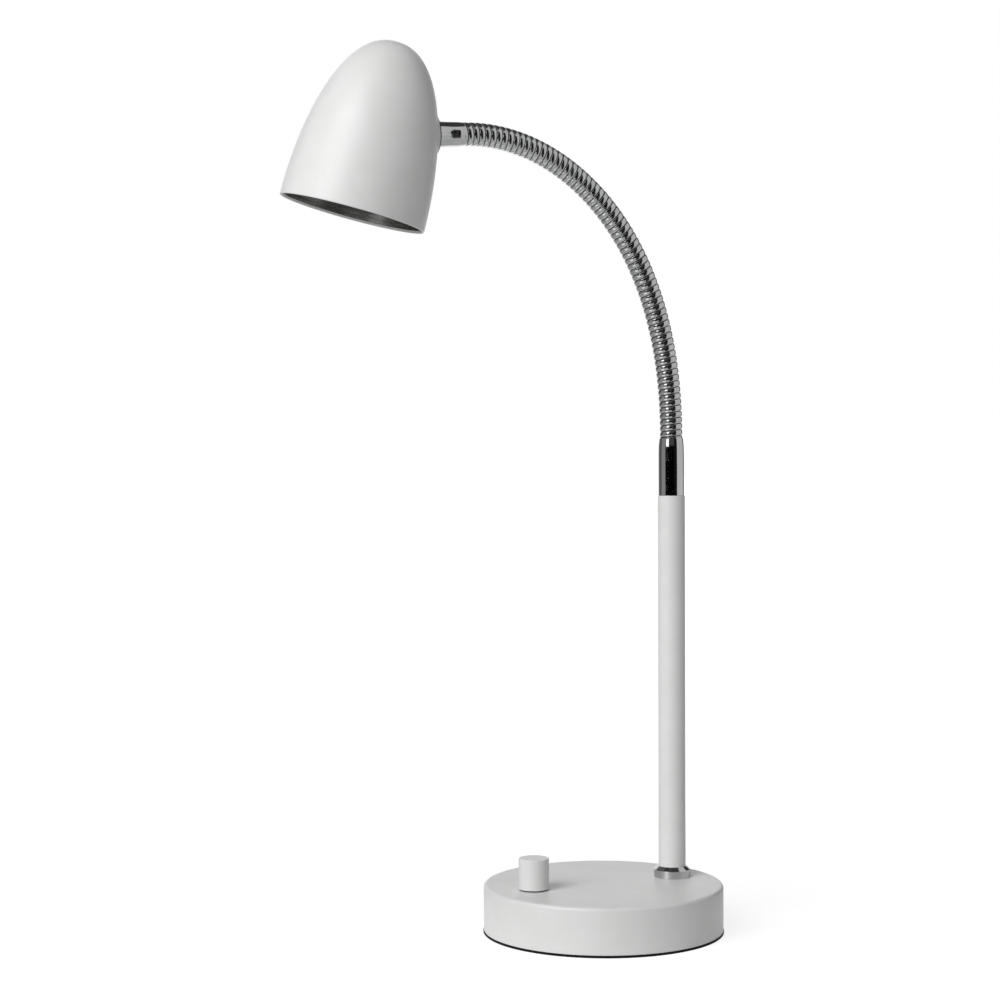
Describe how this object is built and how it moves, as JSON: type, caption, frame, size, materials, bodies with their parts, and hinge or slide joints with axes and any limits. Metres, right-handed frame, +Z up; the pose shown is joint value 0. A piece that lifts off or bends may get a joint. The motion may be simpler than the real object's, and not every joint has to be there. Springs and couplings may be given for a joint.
{
  "type": "gooseneck desk lamp",
  "caption": "Desk lamp with a round weighted base, a dimmer knob, a straight pole, a ribbed metal gooseneck that bends, and a bullet shade that swivels on the neck's end.",
  "frame": {"origin": "centre of the base's underside, on the table", "axes": "+Z up. The pole stands on the +X side of the base, the knob and the shade are on the -X side, the neck lies in the XZ plane, and the cord inlet faces +Y, the back"},
  "size_m": [0.263, 0.1418, 0.5085],
  "materials": {
    "white_enamel": "gloss",
    "plate_zinc": "satin",
    "black_rubber": "matte",
    "cast_iron": "matte",
    "ivory_plastic": "satin",
    "green_board": "matte",
    "wound_copper": "satin",
    "yellow_film": "satin",
    "black_plastic": "satin",
    "blue_insulation": "matte",
    "chrome": "polished",
    "brass": "satin",
    "clear_flex": "satin",
    "spun_aluminium": "satin",
    "ceramic": "matte",
    "bulb_glass": "gloss"
  },
  "bodies": {
    "base": {"base_shell": "white_enamel", "base_plate": "plate_zinc", "base_pad": "black_rubber", "plate_screws": "plate_zinc", "ballast": "cast_iron", "inlet_bush": "black_rubber", "terminal_block": "ivory_plastic", "dimmer_board": "green_board", "dimmer_pot": "plate_zinc", "dimmer_choke": "wound_copper", "dimmer_capacitor": "yellow_film", "dimmer_triac": "black_plastic", "dimmer_washer": "plate_zinc", "dimmer_nut": "plate_zinc", "dimmer_leads": "blue_insulation", "pole": "white_enamel", "pole_collar": "chrome", "pole_bush": "brass", "pole_stud": "plate_zinc", "stud_washer": "plate_zinc", "stud_nut": "plate_zinc", "lower_ferrule": "chrome", "neck_root": "chrome", "pole_flex": "clear_flex"},
    "knob": {"knob": "white_enamel", "dimmer_shaft": "plate_zinc"},
    "neck_1": {"neck_link_1": "chrome", "neck_flex_1": "clear_flex"},
    "neck_2": {"neck_link_2": "chrome", "neck_flex_2": "clear_flex"},
    "neck_3": {"neck_link_3": "chrome", "neck_flex_3": "clear_flex"},
    "neck_4": {"neck_link_4": "chrome", "neck_flex_4": "clear_flex"},
    "neck_5": {"neck_link_5": "chrome", "neck_flex_5": "clear_flex"},
    "neck_6": {"neck_link_6": "chrome", "neck_flex_6": "clear_flex"},
    "neck_7": {"neck_link_7": "chrome", "neck_flex_7": "clear_flex"},
    "neck_8": {"neck_link_8": "chrome", "neck_flex_8": "clear_flex"},
    "neck_9": {"neck_link_9": "chrome", "neck_flex_9": "clear_flex"},
    "neck_10": {"neck_link_10": "chrome", "neck_flex_10": "clear_flex"},
    "neck_end": {"neck_tip": "chrome", "upper_ferrule": "chrome", "tip_flex": "clear_flex", "shade_nut": "plate_zinc", "friction_washer": "plate_zinc"},
    "shade": {"shade": "white_enamel", "shade_washer": "black_plastic", "reflector": "spun_aluminium", "holder_bracket": "plate_zinc", "holder_screws": "plate_zinc", "lamp_holder": "ceramic", "bulb_glass": "bulb_glass", "bulb_pins": "plate_zinc", "shade_leads": "clear_flex"}
  },
  "joints": [
    {"name": "dimmer_turn", "type": "hinge", "parent": "base", "child": "knob", "pos_m": [-0.045, 0, 0.028], "axis": [0, 0, -1], "range_deg": [0, 270]},
    {"name": "neck_bend_1", "type": "hinge", "parent": "base", "child": "neck_1", "pos_m": [0.04582, 0, 0.29904], "axis": [0.001, -1, 0], "range_deg": [-14, 14]},
    {"name": "neck_lean_2", "type": "hinge", "parent": "neck_1", "child": "neck_2", "pos_m": [0.04422, 0, 0.32107], "axis": [0.9936, 0, 0.113], "range_deg": [-10, 10]},
    {"name": "neck_bend_3", "type": "hinge", "parent": "neck_2", "child": "neck_3", "pos_m": [0.04072, 0, 0.34287], "axis": [0.001, -1, 0], "range_deg": [-14, 14]},
    {"name": "neck_lean_4", "type": "hinge", "parent": "neck_3", "child": "neck_4", "pos_m": [0.03501, 0, 0.3642], "axis": [0.9499, 0, 0.3126], "range_deg": [-10, 10]},
    {"name": "neck_bend_5", "type": "hinge", "parent": "neck_4", "child": "neck_5", "pos_m": [0.02683, 0, 0.38471], "axis": [0.001, -1, 0], "range_deg": [-14, 14]},
    {"name": "neck_lean_6", "type": "hinge", "parent": "neck_5", "child": "neck_6", "pos_m": [0.01601, 0, 0.40395], "axis": [0.8343, 0, 0.5513], "range_deg": [-10, 10]},
    {"name": "neck_bend_7", "type": "hinge", "parent": "neck_6", "child": "neck_7", "pos_m": [0.00247, 0, 0.42137], "axis": [0.001, -1, 0], "range_deg": [-14, 12]},
    {"name": "neck_lean_8", "type": "hinge", "parent": "neck_7", "child": "neck_8", "pos_m": [-0.01372, 0, 0.43636], "axis": [0.6129, 0, 0.7902], "range_deg": [-10, 10]},
    {"name": "neck_bend_9", "type": "hinge", "parent": "neck_8", "child": "neck_9", "pos_m": [-0.03232, 0, 0.44822], "axis": [0.001, -1, 0], "range_deg": [-14, 12]},
    {"name": "neck_lean_10", "type": "hinge", "parent": "neck_9", "child": "neck_10", "pos_m": [-0.05286, 0, 0.45627], "axis": [0.2679, 0, 0.9634], "range_deg": [-10, 10]},
    {"name": "neck_bend_11", "type": "hinge", "parent": "neck_10", "child": "neck_end", "pos_m": [-0.07461, 0, 0.45987], "axis": [0.001, -1, 0], "range_deg": [-14, 12]},
    {"name": "shade_swivel", "type": "hinge", "parent": "neck_end", "child": "shade", "pos_m": [-0.10631, 0, 0.45859], "axis": [-0.9982, 0, -0.0603], "range_deg": [-80, 80]}
  ],
  "couplings": [
    {"joint": "neck_bend_3", "follows": "neck_bend_1", "ratio": 1},
    {"joint": "neck_bend_5", "follows": "neck_bend_1", "ratio": 1},
    {"joint": "neck_bend_9", "follows": "neck_bend_7", "ratio": 1},
    {"joint": "neck_bend_11", "follows": "neck_bend_7", "ratio": 1},
    {"joint": "neck_lean_4", "follows": "neck_lean_2", "ratio": 1},
    {"joint": "neck_lean_6", "follows": "neck_lean_2", "ratio": 1},
    {"joint": "neck_lean_8", "follows": "neck_lean_2", "ratio": 1},
    {"joint": "neck_lean_10", "follows": "neck_lean_2", "ratio": 1}
  ]
}
